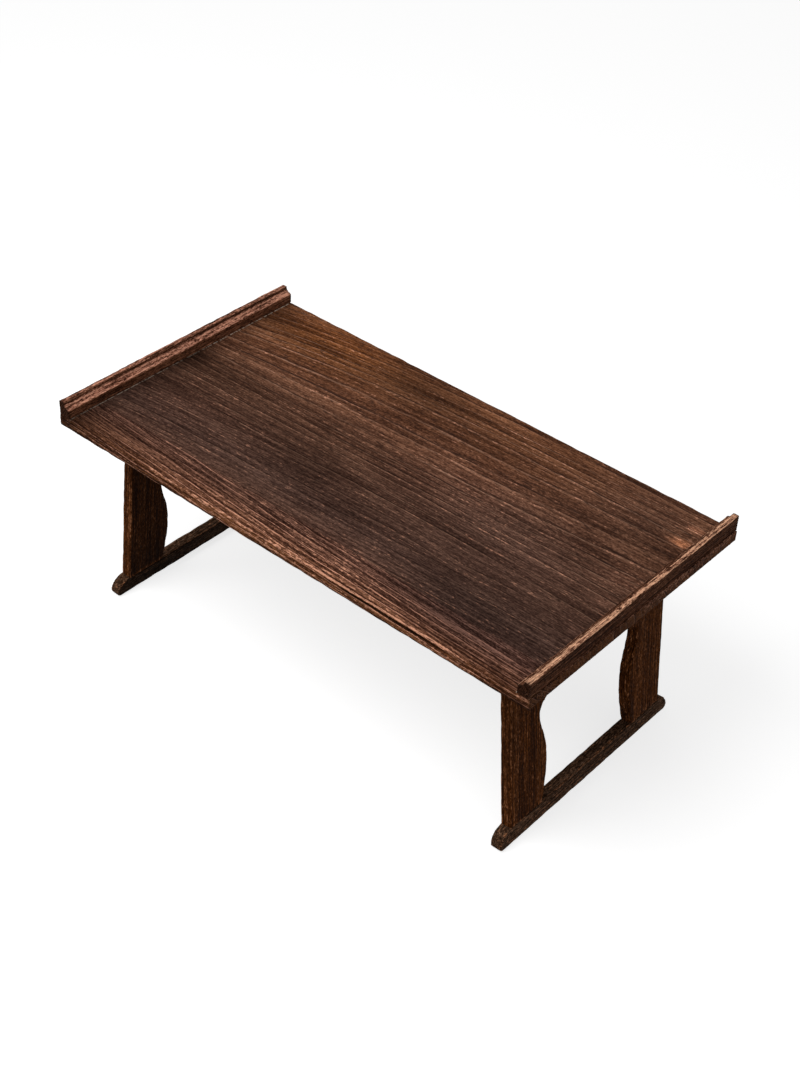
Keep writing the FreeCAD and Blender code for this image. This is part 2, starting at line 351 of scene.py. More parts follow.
def fibreGroup():
    # short flecks and long streaks left by the wire brush, open pores, blotches, and clouds of heavier char
    tree, given, out = newGroup("brushedFibre", {"Position": "Vector"}, tuple(fibreFigure))
    for name, (scale, detail, rough, edge) in fibreFigure.items():
        noise = speckle(tree, given["Position"], scale, detail, rough)
        feed(tree, out, {name: ramp(tree, noise, *edge)})
    return tree


def wornGroup():
    # bare wood where the char is rubbed through, broken up by the grain
    marks = rubbing["marks"]
    tree, given, out = newGroup("rubbedThrough", dict.fromkeys(["Wear", *marks], "Float"), ("Bare",))
    level = given["Wear"]
    for name, (weight, middle) in marks.items():
        off = calc(tree, "SUBTRACT", given[name], middle)
        level = calc(tree, "ADD", level, calc(tree, "MULTIPLY", off, weight))
    feed(tree, out, {"Bare": ramp(tree, level, *rubbing["edge"])})
    return tree


growthRings, brushedFibre, rubbedThrough = ringGroup(), fibreGroup(), wornGroup()


def footLine(tree, position, broken, foot):
    # a pale broken line along the foot of the ledges, on the upper face only
    spot = put(tree, "SeparateXYZ", {0: position}).outputs
    away = calc(tree, "SUBTRACT", calc(tree, "ABSOLUTE", spot[0]), foot["place"])
    line = ramp(tree, calc(tree, "ABSOLUTE", away), *foot["width"])
    line = calc(tree, "MULTIPLY", line, ramp(tree, broken, *foot["breaks"]))
    return calc(tree, "MULTIPLY", line, ramp(tree, spot[2], *foot["height"]))


def woodFinish(name, look):
    material, tree, shader = newMaterial(name)
    position = attribute(tree, "grain")["Vector"]
    finish = put(tree, "SeparateXYZ", {0: attribute(tree, "finish")["Vector"]}).outputs
    wear, tone, amber = finish[0], finish[1], finish[2]
    char = look["burnt"][0]

    def group(kind, inputs):
        made = tree.nodes.new("ShaderNodeGroup")
        made.node_tree = kind
        return feed(tree, made, inputs).outputs

    def times(a, b):
        return calc(tree, "MULTIPLY", a, b)

    fibre = group(brushedFibre, {"Position": position})
    rings = group(growthRings, {
        "Ring": attribute(tree, "ring")["Fac"], "Position": position,
        "Line": look["line"], "Fading": look["fading"]})
    marks = {socket.name: socket for sockets in (fibre, rings) for socket in sockets}
    half = look["patchy"] / 2
    bare = group(rubbedThrough, {
        "Wear": wear, "Fleck": marks["Fleck"], "Streak": marks["Streak"], "Ridge": marks["Ridge"],
        "Blotch": ramp(tree, marks["Blotch"], 0.0, 1.0, 0.5 - half, 0.5 + half)})["Bare"]

    value = 0.5
    for part, weight in look["mottle"].items():
        off = calc(tree, "SUBTRACT", marks[part], 0.5)
        value = calc(tree, "ADD", times(off, weight), value)
    colour = mixed(tree, amber, toned(tree, value, look["burnt"]), toned(tree, value, look["amber"]))
    colour = mixed(tree, times(marks["Groove"], look["groove"]), colour, char)
    bold = ramp(tree, wear, *look["ridgeWear"], look["ridgeLeast"] * look["ridge"], look["ridge"])
    colour = mixed(tree, times(marks["Ridge"], bold), colour, look["lineColour"])
    rubbed = calc(tree, "ADD", value, ramp(tree, wear, *look["rubbedWear"], 0.0, look["rubbed"]))
    colour = mixed(tree, bare, colour, toned(tree, rubbed, look["bare"]))
    if "charLeft" in look:                # char stays in the grooves of bare wood
        left = times(times(marks["Groove"], bare), look["charLeft"])
        colour = mixed(tree, left, colour, char)
    colour = mixed(tree, times(marks["Pore"], look["pore"]), colour, char)
    if "ledgeFoot" in look:
        paleFootLine = footLine(tree, position, marks["Blotch"], look["ledgeFoot"])
        colour = mixed(tree, paleFootLine, colour, look["ledgeFoot"]["colour"])
    colour = put(tree, "VectorMath", {0: colour, "Scale": tone}, operation="SCALE").outputs[0]

    height = 0.0
    for part, weight in look["heights"].items():
        height = calc(tree, "ADD", times(marks[part], weight), height)
    bump = put(tree, "Bump", {"Height": height, "Distance": look["bump"], "Strength": 1.0}).outputs[0]
    rough = ramp(tree, marks["Fleck"], 0.0, 1.0, look["rough"][1], look["rough"][0])
    feed(tree, shader, {
        "Base Color": colour, "Roughness": rough, "Normal": bump, "Specular IOR Level": look["gloss"]})
    return material


topLook = {
    "burnt": [(0.024, 0.0110, 0.0078, 1), (0.078, 0.0405, 0.0310, 1), (0.170, 0.0930, 0.0690, 1)],
    "amber": [(0.036, 0.0108, 0.0033, 1), (0.127, 0.0435, 0.0145, 1), (0.270, 0.1050, 0.0410, 1)],
    "bare": [(0.070, 0.0265, 0.0155, 1), (0.255, 0.1010, 0.0600, 1), (0.640, 0.3100, 0.1950, 1)],
    "mottle": {"Fleck": 0.50, "Streak": 0.45, "Cloud": 0.28, "Band": 0.44},
    "lineColour": (0.330, 0.183, 0.120, 1), "line": 0.11, "groove": 1.0, "fading": 0.60,
    "ridge": 0.95, "ridgeLeast": 0.25, "ridgeWear": (-0.35, 0.1),         # lines are bolder where worn
    "rubbed": 0.60, "rubbedWear": (0.4, 1.5), "pore": 0.75, "patchy": 1.0,
    "ledgeFoot": {"place": 0.2853, "width": (0.0011, 0.0004), "height": (0.2318, 0.2322),
                  "breaks": (0.1, 0.7), "colour": (0.42, 0.32, 0.25, 1)},
    "heights": {"Ridge": 0.9, "Fleck": 0.6, "Pore": -0.6}, "bump": 0.00030,
    "rough": (0.5, 0.75), "gloss": 0.01,
}
middleLook = dict(topLook, ridge=0.60, groove=0.60, fading=0.90)
frontLook = dict(
    topLook, line=0.12, lineColour=(0.900, 0.430, 0.285, 1), ridge=1.0, fading=0.55,
    burnt=[(0.022, 0.0085, 0.0058, 1), (0.086, 0.0405, 0.0305, 1), (0.190, 0.0940, 0.0690, 1)],
    mottle={"Fleck": 0.70, "Streak": 0.90, "Cloud": 0.20, "Band": 0.45})
frameLook = {name: value for name, value in frontLook.items() if name != "ledgeFoot"}
ledgeLook = dict(
    frameLook, line=0.25, ridge=0.30, groove=0.60, patchy=0.35, charLeft=0.35,
    burnt=[(0.024, 0.0080, 0.0036, 1), (0.104, 0.0380, 0.0180, 1), (0.205, 0.0850, 0.0450, 1)],
    bare=[(0.050, 0.0180, 0.0095, 1), (0.290, 0.1130, 0.0700, 1), (0.720, 0.3450, 0.2250, 1)],
    mottle={"Fleck": 0.75, "Streak": 0.60, "Blotch": 0.15, "Cloud": 0.35, "Band": 0.20}, bump=0.0004)
wornLedgeLook = dict(
    ledgeLook, patchy=0.7, charLeft=0.75,
    mottle={"Fleck": 0.80, "Streak": 0.80, "Blotch": 0.35, "Cloud": 0.35, "Band": 0.25},
    bare=[(0.045, 0.0170, 0.0085, 1), (0.300, 0.1220, 0.0720, 1), (0.900, 0.4900, 0.3000, 1)])
postLook = dict(
    frameLook, line=0.22, lineColour=(0.190, 0.0660, 0.0210, 1), ridge=0.40,
    burnt=[(0.013, 0.0031, 0.0005, 1), (0.065, 0.0176, 0.0032, 1), (0.180, 0.0580, 0.0150, 1)],
    bare=[(0.035, 0.0097, 0.0022, 1), (0.150, 0.0475, 0.0155, 1), (0.420, 0.1750, 0.0800, 1)],
    mottle={"Fleck": 0.65, "Streak": 0.60, "Blotch": 0.20, "Cloud": 0.30, "Band": 0.40})
runnerLook = dict(
    postLook, mottle={"Fleck": 0.85, "Streak": 0.45, "Blotch": 0.35, "Cloud": 0.35, "Band": 0.30},
    burnt=[(0.014, 0.0065, 0.0030, 1), (0.070, 0.0345, 0.0185, 1), (0.200, 0.1150, 0.0720, 1)])

topWood = woodFinish("topWood", topLook)
middleWood = woodFinish("middleWood", middleLook)
frontWood = woodFinish("frontWood", frontLook)
ledgeWood = {
    "left": woodFinish("leftLedgeWood", ledgeLook),
    "right": woodFinish("rightLedgeWood", wornLedgeLook),
}
postWood = woodFinish("postWood", postLook)
runnerWood = woodFinish("runnerWood", runnerLook)
print("wood finishes made")


# Top: three planks, glued edge to edge

planks = {
    "topArris": 0.002, "bottomArris": 0.0015, "arrisSteps": 4, "edgeZone": 0.005, "leastNormal": 0.1,
    "cellAlong": 0.005, "cellThrough": 0.0007, "shortest": (0.5, 0.03, 0.004),   # other edges stay whole
    "underDepth": 0.00015, "underFacing": -0.5, "nickDepth": 0.0003, "nickReach": (0.02, 0.008, 0.008),
    "swells": {"driftReach": (0.5, 0.10, 0.06), "ripple": 0.00035, "rippleReach": (0.06, 0.015, 0.02)},
    "boards": {
        "front": {"cell": 0.0006, "ringGap": (0.0034, 0.0062), "ringLean": 48, "climb": -0.045,
                  "climbReach": 0.8, "drift": 0.0012, "brushDepth": 0.00050, "look": frontLook,
                  "finish": frontWood, "seed": 21},
        "middle": {"cell": 0.0010, "ringGap": (0.0045, 0.0110), "ringLean": 24, "climb": 0.030,
                   "climbReach": 0.20, "drift": 0.0036, "brushDepth": 0.00032, "look": middleLook,
                   "finish": middleWood, "seed": 37},
        "back": {"cell": 0.0010, "ringGap": (0.0050, 0.0150), "ringLean": 18, "climb": 0.042,
                 "climbReach": 0.22, "climbLeast": 0.3, "climbZone": (0.0, 0.12), "drift": 0.0030,
                 "brushDepth": 0.00032, "look": topLook, "finish": topWood, "seed": 54},
    },
    "curl": {"centre": (0.150, -0.062), "reach": (0.040, 0.012), "lift": 0.006},
    "split": {"height": 0.2292, "flank": (0.0009, 0.00198), "depth": 0.0010, "facing": -0.6,
              "start": (0.05, 0.10), "end": (0.16, 0.26),
              "level": 1.3, "swell": 0.6, "swellReach": (0.03, 0.1, 0.1)},
    "screws": {"end": 0.2925, "rows": (-0.1385, -0.081, -0.010833, 0.0575, 0.125833), "sides": 24,
               "head": 0.00305, "shank": 0.00165, "clear": 1.05,            # clear: in head radii
               "opening": (0.005, 0.0042), "facing": -0.9},
    "ledgeInside": 0.286, "endShade": {-1: (0.36, 0.022), 1: (0.12, 0.012)},     # painted shade beside each ledge: depth, and how far
    "endGrain": {"facing": (0.5, 0.9), "tone": 0.72, "amber": 0.95}, "leastTone": 0.1,
    "wear": {"rest": -0.1, "arris": 0.25,
             "rim": 0.8, "rimFrom": 0.298, "rimFacing": 0.3},     # the rim shows outside a ledge
    "toneAcross": [                       # from the front edge to the back
        (-0.160, 0.98), (-0.095, 0.76), (-0.008, 0.75), (0.050, 0.99), (0.110, 1.02), (0.150, 1.12),
    ],
    "amberAcross": [
        (-0.160, 0.60), (-0.128, 0.20), (-0.090, 0.05), (-0.010, 0.32), (0.070, 0.52), (0.130, 0.70),
    ],
    "amberPatches": [                     # centre, reach and strength of the warmer and cooler parts
        ((-0.190, 0.125), (0.090, 0.045), 0.35), ((0.230, 0.125), (0.090, 0.050), -0.30),
        ((0.150, 0.010), (0.120, 0.055), -0.22), ((0.220, -0.125), (0.100, 0.025), -0.25),
        ((0.272, 0.106), (0.013, 0.009), 0.25),
    ],
    "palePatches": [                      # the same for paler and darker parts
        ((-0.165, 0.070), (0.160, 0.030), 0.53), ((-0.195, 0.143), (0.070, 0.018), 0.60),
        ((-0.062, 0.126), (0.060, 0.034), -0.46), ((0.030, 0.148), (0.070, 0.015), 0.18),
        ((0.065, 0.038), (0.065, 0.045), 0.55), ((0.258, 0.094), (0.042, 0.050), -0.18),
        ((-0.225, -0.068), (0.080, 0.040), 0.25), ((-0.255, 0.010), (0.070, 0.025), -0.24),
        ((0.188, -0.006), (0.060, 0.030), 0.22), ((0.190, -0.102), (0.060, 0.030), -0.28),
        ((0.055, -0.120), (0.080, 0.020), 0.15), ((0.262, -0.128), (0.045, 0.018), 0.36),
        ((-0.280, -0.150), (0.060, 0.030), -0.15), ((0.272, 0.132), (0.010, 0.0045), 2.90),
        ((0.273, 0.105), (0.010, 0.0060), 4.30), ((0.266, 0.026), (0.020, 0.013), 0.70),
        ((0.272, -0.014), (0.012, 0.008), 0.55), ((0.277, -0.067), (0.010, 0.008), 0.30),
        ((-0.068, -0.048), (0.050, 0.030), -0.18), ((-0.072, -0.126), (0.055, 0.016), -0.18),
    ],
}
frontEdge = {                             # zones of the front plank, then the wear and tone they get
    "middleAt": 0.02, "middle": (0.10, 0.29), "leftEnd": (-0.24, -0.06), "rightEnd": (0.08, 0.20),
    "brightFrom": (0.02, 0.09), "brightTo": (0.19, 0.24), "forward": (0.117, 0.156),
    "arris": (0.1572, 0.1584), "lowerRim": (-0.2245, -0.2205), "rimFacing": -0.2, "face": (0.75, 0.97),
    "wear": {"forward": 0.05, "middle": 0.10, "ends": 0.25, "arris": 0.15, "arrisMiddle": 0.25,
             "arrisBright": 1.1, "face": 0.24, "split": 0.6},
    "tone": {"forward": 0.12, "face": 0.14, "faceMiddle": 0.06, "faceRight": 0.22, "lowerRim": 0.55,
             "split": 0.9},
    "faceAmber": 0.85,
}


def plankGrain(spots, board):
    # places measured along the grain, which climbs across the plank
    climb = board["climb"] * (1 - np.exp(-(spots[:, 0] + tableEnd) / board["climbReach"]))
    if "climbZone" in board:              # most at the back edge
        least = board["climbLeast"]
        climb = climb * (least + (1 - least) * smoothStep(spots[:, 1], *board["climbZone"]))
    grain = spots.copy()
    grain[:, 1] -= climb
    return grain


def plankRings(spots, grain, board):
    curl = planks["curl"]
    lift = curl["lift"] * blob(spots, curl["centre"], curl["reach"])
    figure = {**planks["swells"], **board}
    return ringsAt(spots, grain[:, 1], grain[:, 2], figure, board["seed"], lift)


def patches(spots, wanted):
    return sum(weight * blob(spots, centre, reach) for centre, reach, weight in wanted)


def across(spots, table):
    places, values = zip(*table)
    return np.interp(spots[:, 1], places, values)


def frontFinish(spots, normals, arris, seam, tone, amber):
    # brushed hardest along its front edge, with a darker face and a groove that holds painted shade
    worn, tones = frontEdge["wear"], frontEdge["tone"]
    along = spots[:, 0]
    middle = 1 - smoothStep(np.abs(along - frontEdge["middleAt"]), *frontEdge["middle"])
    toRight = smoothStep(along, *frontEdge["rightEnd"])
    ends = 1 - smoothStep(along, *frontEdge["leftEnd"]) + toRight
    bright = smoothStep(along, *frontEdge["brightFrom"]) * (1 - smoothStep(along, *frontEdge["brightTo"]))
    forward = smoothStep(-spots[:, 1], *frontEdge["forward"])
    face = smoothStep(-normals[:, 1], *frontEdge["face"])
    upperArris = np.maximum(arris, smoothStep(-spots[:, 1], *frontEdge["arris"])) * (normals[:, 2] > 0)
    # the lower rim of the front face gets painted shade
    lowerRim = smoothStep(-spots[:, 2], *frontEdge["lowerRim"]) * (normals[:, 1] < frontEdge["rimFacing"])

    wear = worn["forward"] * forward + worn["middle"] * forward * middle - worn["ends"] * ends
    onArris = worn["arris"] + worn["arrisMiddle"] * middle + worn["arrisBright"] * bright
    wear = wear + upperArris * onArris
    wear = wear + face * (worn["face"] - wear) - worn["split"] * seam
    tone = tone + tones["forward"] * forward * middle - tones["forward"] * forward * (1 - middle)
    tone = tone * (1 - face * (tones["face"] - tones["faceMiddle"] * middle))
    tone = tone * (1 + tones["faceRight"] * face * toRight)
    # painted shade along the lower rim and in the groove under the arris
    tone = tone * (1 - tones["lowerRim"] * lowerRim) * (1 - tones["split"] * seam)
    return wear, tone, amber + face * (frontEdge["faceAmber"] - amber)


def plankFinish(spots, normals, which, arris, seam):
    along = spots[:, 0]
    upper = normals[:, 2] > 0
    tone = across(spots, planks["toneAcross"]) + patches(spots, planks["palePatches"]) * upper
    for end, (depth, reach) in planks["endShade"].items():        # painted shade beside the ledges
        tone = tone - depth * np.exp(-(np.clip(planks["ledgeInside"] - end * along, 0, 1) / reach) ** 2)
    amber = across(spots, planks["amberAcross"]) + patches(spots, planks["amberPatches"]) * upper
    cut = planks["endGrain"]
    endGrain = smoothStep(np.abs(normals[:, 0]), *cut["facing"])
    tone = tone + endGrain * (cut["tone"] - tone)
    amber = amber + endGrain * (cut["amber"] - amber)
    if which == "front":
        wear, tone, amber = frontFinish(spots, normals, arris, seam, tone, amber)
    else:
        worn = planks["wear"]
        atRim = (np.abs(along) > worn["rimFrom"]) & (normals[:, 2] > worn["rimFacing"])
        wear = worn["arris"] * arris + worn["rest"] + worn["rim"] * atRim
    return np.column_stack((wear, np.maximum(tone, planks["leastTone"]), np.clip(amber, 0, 1)))


def seamAt(spots, normals, seed):
    # the front edge has a groove under its upper arris, darkened with painted shade
    split = planks["split"]
    away = np.abs(spots[:, 2] - split["height"])
    seam = (1 - smoothStep(away, *split["flank"])) * (normals[:, 1] < split["facing"])
    seam = seam * smoothStep(spots[:, 0], *split["start"]) * (1 - smoothStep(spots[:, 0], *split["end"]))
    return seam * np.clip(split["level"] + split["swell"] * waver(spots, split["swellReach"], seed), 0, 1)


def countersink(bm, place, screws):
    # opens the grid round a screw, joins it to a round hole and closes that as a cone
    def opens(face):
        away = face.calc_center_median() - place
        beside = all(abs(away[axis]) < reach for axis, reach in enumerate(screws["opening"]))
        return beside and abs(away.z) < tiny and face.normal.z < screws["facing"]
    opened = [f for f in bm.faces if opens(f)]
    rim = [e for e in {e for f in opened for e in f.edges} if sum(f in opened for f in e.link_faces) == 1]
    bmesh.ops.delete(bm, geom=opened, context="FACES")
    turned = Matrix.Translation(place)
    circle = bmesh.ops.create_circle(
        bm, segments=screws["sides"], radius=screws["head"], matrix=turned)["verts"]
    ring = list({e for v in circle for e in v.link_edges})
    bmesh.ops.triangle_fill(bm, use_beauty=True, edges=rim + ring, normal=(0, 0, -1))
    cone = bmesh.ops.extrude_edge_only(bm, edges=ring)["geom"]
    end = only(bmesh.types.BMVert, cone)
    narrow = screws["shank"] / screws["head"]
    bmesh.ops.scale(bm, vec=(narrow, narrow, 1), space=turned.inverted(), verts=end)
    bmesh.ops.translate(bm, vec=(0, 0, screws["head"] - screws["shank"]), verts=end)
    bmesh.ops.contextual_create(bm, geom=only(bmesh.types.BMEdge, cone))


def buildPlank(which, board):
    node = "plank_" + which
    low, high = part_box(node)
    bm = block(low, high)
    lower = edgesWhere(bm, lambda mid, run: near(mid.z, low.z) and (
        near(abs(mid.x), tableEnd) or near(abs(mid.y), tableEdge)))
    rounded(bm, lower, planks["bottomArris"], planks["arrisSteps"])
    upper = edgesWhere(bm, lambda mid, run: near(mid.z, high.z) and near(abs(mid.y), tableEdge))
    if upper:
        rounded(bm, upper, planks["topArris"], planks["arrisSteps"])
    cells = (planks["cellAlong"], board["cell"], planks["cellThrough"])
    for axis, (cell, shortest) in enumerate(zip(cells, planks["shortest"])):
        gridAlong(bm, axis, cell, shortest)
    screws = planks["screws"]
    rows = [row for row in screws["rows"] if low.y < row < high.y]
    places = [Vector((end * screws["end"], row, low.z)) for end in (-1, 1) for row in rows]
    for place in places:
        countersink(bm, place, screws)
    bmesh.ops.recalc_face_normals(bm, faces=bm.faces[:])

    spots, normals = spotsOf(bm), normalsOf(bm)
    arris = 2 * np.abs(normals[:, 1] * normals[:, 2])
    atSide = (np.abs(spots[:, 1] - low.y) < tiny) | (np.abs(spots[:, 1] - high.y) < tiny)
    joint = atSide & (np.abs(np.abs(spots[:, 1]) - tableEdge) > planks["edgeZone"])
    arris[joint] = 0
    normals[joint, 1] = 0                 # glued edges stay flat and tight
    largest = np.abs(normals[joint]).max(1, keepdims=True)
    normals[joint] /= np.maximum(largest, planks["leastNormal"])
    grain = plankGrain(spots, board)
    rings = plankRings(spots, grain, board)
    under = normals[:, 2] < planks["underFacing"]
    dips = np.where(under, planks["underDepth"], board["brushDepth"])
    dips = dips * (1 - ringRidge(rings, board["look"]["line"]))
    dips = dips + planks["nickDepth"] * nicksAt(spots, planks["nickReach"], board["seed"] + 5) * arris
    seam = seamAt(spots, normals, board["seed"] + 6)
    dips = dips + planks["split"]["depth"] * seam
    for place in places:
        away = np.hypot(spots[:, 0] - place.x, spots[:, 1] - place.y)
        dips[away < screws["clear"] * screws["head"]] = 0
    brush(bm, normals, dips, grain, rings, plankFinish(spots, normals, which, arris, seam))
    return asPiece(bm, which + "Plank", node, "top", board["finish"])


for which, board in planks["boards"].items():
    made = buildPlank(which, board)
    print("plank", which, len(made.data.polygons), "faces")


# Ledges: a stepped strip on each end of the top

ledges = {
    "ridgeWidth": 0.0065, "riserHeight": 0.0044, "stepFall": 0.0026, "cove": 0.004, "coveSteps": 5,
    "arris": 0.0008, "arrisSteps": 3, "sharpest": 50,
    "cellAlong": 0.0035, "cellAcross": 0.0008, "shortest": 0.1,
    "ringGap": (0.0011, 0.0024), "ringLean": 35, "drift": 0.0016, "driftReach": (0.16, 0.05, 0.05),
    "ripple": 0.0003, "rippleReach": (0.03, 0.01, 0.01), "grainShift": 0.4, "seed": 71,
    "brushDepth": 0.00035, "nickDepth": 0.0006, "nickReach": (0.010, 0.006, 0.006),
    "wear": {"left": [(-0.16, 0.86), (0.16, 0.82)],       # along the strip, from front to back
             "right": [(-0.16, 1.30), (-0.08, 1.05), (0.16, 0.86)]},
    "wearSwell": 0.15, "wearReach": (0.05, 0.006, 0.006), "wearFacing": (0.05, 0.75),
    "ridgeWear": {"left": 0.86, "right": 1.0}, "ridgeLeast": 0.5, "ridgeEdge": (-0.0002, 0.0020),
    "stepWear": {"left": 1.0, "right": 0.0},              # the right step is still burnt
    "stepTone": {"left": 1.0, "right": 0.85},
    "arrisWear": 0.15, "sideWear": -0.25, "sideFacing": (0, 0.3),
    "ridgeDepth": 0.0015, "stepEdge": 0.002, "edgeDepth": 0.004,          # limits of ridge, step and arrises
    "innerTone": 1.5, "innerFacing": -0.8, "endTone": 0.35, "endFacing": 0.7,
}


def buildLedge(side, sign, seed):
    node = "ledge_" + side
    low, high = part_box(node)
    outside = max(abs(low.x), abs(high.x))
    inside = min(abs(low.x), abs(high.x))
    riser = outside - ledges["ridgeWidth"]
    stepTop = high.z - ledges["riserHeight"]
    innerTop = stepTop - ledges["stepFall"]
    section = [
        (outside, low.z), (outside, high.z), (riser, high.z), (riser, stepTop), (inside, innerTop),
        (inside, low.z),
    ]
    bm = prism([(x, low.y, z) for x, z in section], (0, high.y - low.y, 0))

    def lengthwise(hollow):
        def wanted(mid, run):
            atFoot = near(mid.x, riser) and near(mid.z, stepTop)
            return abs(run.y) > ledges["shortest"] and mid.z > low.z + tiny and atFoot == hollow
        return edgesWhere(bm, wanted)

    rounded(bm, lengthwise(False), ledges["arris"], ledges["arrisSteps"])
    opening = math.pi / 2 + math.atan2(ledges["stepFall"], riser - inside)
    rounded(bm, lengthwise(True), ledges["cove"] / math.tan(opening / 2), ledges["coveSteps"])
    gridAlong(bm, 1, ledges["cellAlong"], ledges["shortest"])
    sliceAlong(bm, 0, ledges["cellAcross"])
    sliceAlong(bm, 2, ledges["cellAcross"])

    spots, normals = spotsOf(bm), normalsOf(bm)
    x, z, facing = spots[:, 0], spots[:, 2], normals[:, 2]
    grain = np.column_stack((spots[:, 1], x, z)) + np.array([ledges["grainShift"], 0, 0]) * seed
    rings = ringsAt(grain, x, z, ledges, seed)
    inCove = (x < riser + tiny) & (x > inside + ledges["stepEdge"])
    edged = (z > stepTop - ledges["edgeDepth"]) & ~inCove
    arris = np.clip(2 * np.abs(normals[:, 0] * facing), 0, 1) * edged
    wear = np.interp(spots[:, 1], *zip(*ledges["wear"][side]))
    wear = wear + ledges["wearSwell"] * waver(grain, ledges["wearReach"], seed + 3)
    least = ledges["ridgeLeast"]
    ridgeShare = least + (1 - least) * smoothStep(x - riser, *ledges["ridgeEdge"])
    onRidge = z > high.z - ledges["ridgeDepth"]
    wear = wear * np.where(onRidge, ledges["ridgeWear"][side] * ridgeShare, ledges["stepWear"][side])
    wear = smoothStep(facing, *ledges["wearFacing"]) * wear + ledges["arrisWear"] * arris
    wear = wear + ledges["sideWear"] * (1 - smoothStep(facing, *ledges["sideFacing"]))
    tone = np.where(onRidge, 1.0, ledges["stepTone"][side])
    innerFace = (normals[:, 0] < ledges["innerFacing"]) & (z < innerTop)
    tone = np.where(innerFace, ledges["innerTone"], tone)
    tone = np.where(np.abs(normals[:, 1]) > ledges["endFacing"], ledges["endTone"], tone)
    dips = ledges["brushDepth"] * (1 - ringRidge(rings, ledgeLook["line"]))
    dips = dips + ledges["nickDepth"] * nicksAt(grain, ledges["nickReach"], seed + 4) * arris
    dips[z < low.z + tiny] = 0            # nothing comes off the seat
    brush(bm, normals, dips, grain, rings, np.column_stack((wear, tone, np.zeros(len(spots)))))
    if sign < 0:
        bmesh.ops.scale(bm, vec=(-1, 1, 1), verts=bm.verts[:])
        bmesh.ops.reverse_faces(bm, faces=bm.faces[:])
    return asPiece(bm, side + "Ledge", node, "top", ledgeWood[side], ledges["sharpest"])


for index, (side, sign) in enumerate((("left", -1), ("right", 1))):
    made = buildLedge(side, sign, ledges["seed"] + 10 * index)
    print("ledge", side, len(made.data.polygons), "faces")


# Leg frames, drawn upright about the hinge line and then leant outwards

legs = {
    "splay": 5.7, "stock": 0.013, "hingeOffset": 0.00285, "arris": 0.0015, "arrisSteps": 3,
    "frameWidth": 0.240, "railDrop": 0.071, "coveRadius": 0.019, "coveSteps": 10,
    "waist": 0.0435, "swell": 0.0503, "swellAt": 0.245, "swellSlope": 0.295,
    "belly": 0.0546, "bellyAt": 0.555, "foot": 0.048, "footSlope": -0.203, "curveSteps": 8,
    "runnerHeight": 0.020, "runnerNose": 0.016, "runnerToe": 0.0045, "noseSteps": 8, "stopGap": 0.0001,
    "spare": 0.006,                       # left on posts and rails before they are cut to the top
    "swells": {"driftReach": (0.30, 0.06, 0.05), "ripple": 0.00035, "rippleReach": (0.05, 0.012, 0.012)},
    "grainShift": 0.37, "brushDepth": 0.00026, "nickDepth": 0.0004, "nickReach": (0.014, 0.006, 0.006),
    "restWear": -0.06, "arrisWear": 0.42, "wearSwell": 0.10, "wearReach": (0.04, 0.006, 0.006),
    "edgeWear": 0.06, "edgeFacing": 0.8,  # narrow edges are brushed harder
    "toneSwell": 0.12, "toneReach": (0.12, 0.03, 0.03),
    "shadeFacing": (0.6, 0.95), "footReach": 0.09,
    "frontShade": {-1: 0.0, 1: 0.28},     # painted shade on the fronts of the right side
    "seed": 100,
}
hingeLine = {j["child"]: Vector(j["pos_m"]) for j in frame["joints"]}["right_leg"]
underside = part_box("plank_middle")[0].z
leanSin, leanCos = math.sin(math.radians(legs["splay"])), math.cos(math.radians(legs["splay"]))
soleReach = (legs["hingeOffset"] + legs["stock"]) * leanSin
runnerDrop = (hingeLine.z + soleReach) / leanCos - legs["runnerHeight"]
standing = Matrix.Translation(hingeLine) @ Matrix.Rotation(-math.radians(legs["splay"]), 4, "Y")


def hermite(share, start, end, startRun, endRun):
    a = 2 * share ** 3 - 3 * share ** 2 + 1
    b = share ** 3 - 2 * share ** 2 + share
    c = -2 * share ** 3 + 3 * share ** 2
    d = share ** 3 - share ** 2
    return a * start + b * startRun + c * end + d * endRun


def postOutline():
    # the front post on (y, z): straight outside, an S-curve and a cove inside
    outer = -legs["frameWidth"] / 2
    cove = legs["coveRadius"]
    head = legs["waist"] + cove
    waistDrop = legs["railDrop"] + cove
    span = runnerDrop - waistDrop
    knots = [
        (runnerDrop, legs["foot"], legs["footSlope"]),
        (waistDrop + legs["bellyAt"] * span, legs["belly"], 0),
        (waistDrop + legs["swellAt"] * span, legs["swell"], legs["swellSlope"]),
        (waistDrop, legs["waist"], 0),
    ]
    outline = [(0, runnerDrop), (legs["foot"], runnerDrop)]
    for (dropA, widthA, slopeA), (dropB, widthB, slopeB) in zip(knots, knots[1:]):
        run = dropB - dropA
        for step in range(legs["curveSteps"]):
            share = (step + 1) / legs["curveSteps"]
            width = hermite(share, widthA, widthB, slopeA * run, slopeB * run)
            outline.append((width, dropA + share * run))
    for step in range(legs["coveSteps"]):
        turn = math.radians(90 * (step + 1) / legs["coveSteps"])
        outline.append((head - cove * math.cos(turn), waistDrop - cove * math.sin(turn)))
    outline += [(head, -legs["spare"]), (0, -legs["spare"])]
    return [(outer + inset, -drop) for inset, drop in outline]


def runnerOutline():
    # on (y, z): a bar with quarter-round ends and rounded toes
    half, nose, toe = legs["frameWidth"] / 2, legs["runnerNose"], legs["runnerToe"]
    toeTop = legs["runnerHeight"] - toe
    reach = half + math.sqrt(nose ** 2 - (nose - toeTop) ** 2)
    turns = [math.radians(90 * step / legs["noseSteps"]) for step in range(legs["noseSteps"] + 1)]
    front = [(toe - reach - toe * math.sin(t), toeTop + toe * math.cos(t)) for t in turns]
    front += [(-half - nose * math.cos(t), nose - nose * math.sin(t)) for t in turns[1:]]
    back = [(-y, drop) for y, drop in reversed(front)]
    return [(y, -runnerDrop - drop) for y, drop in front + back]


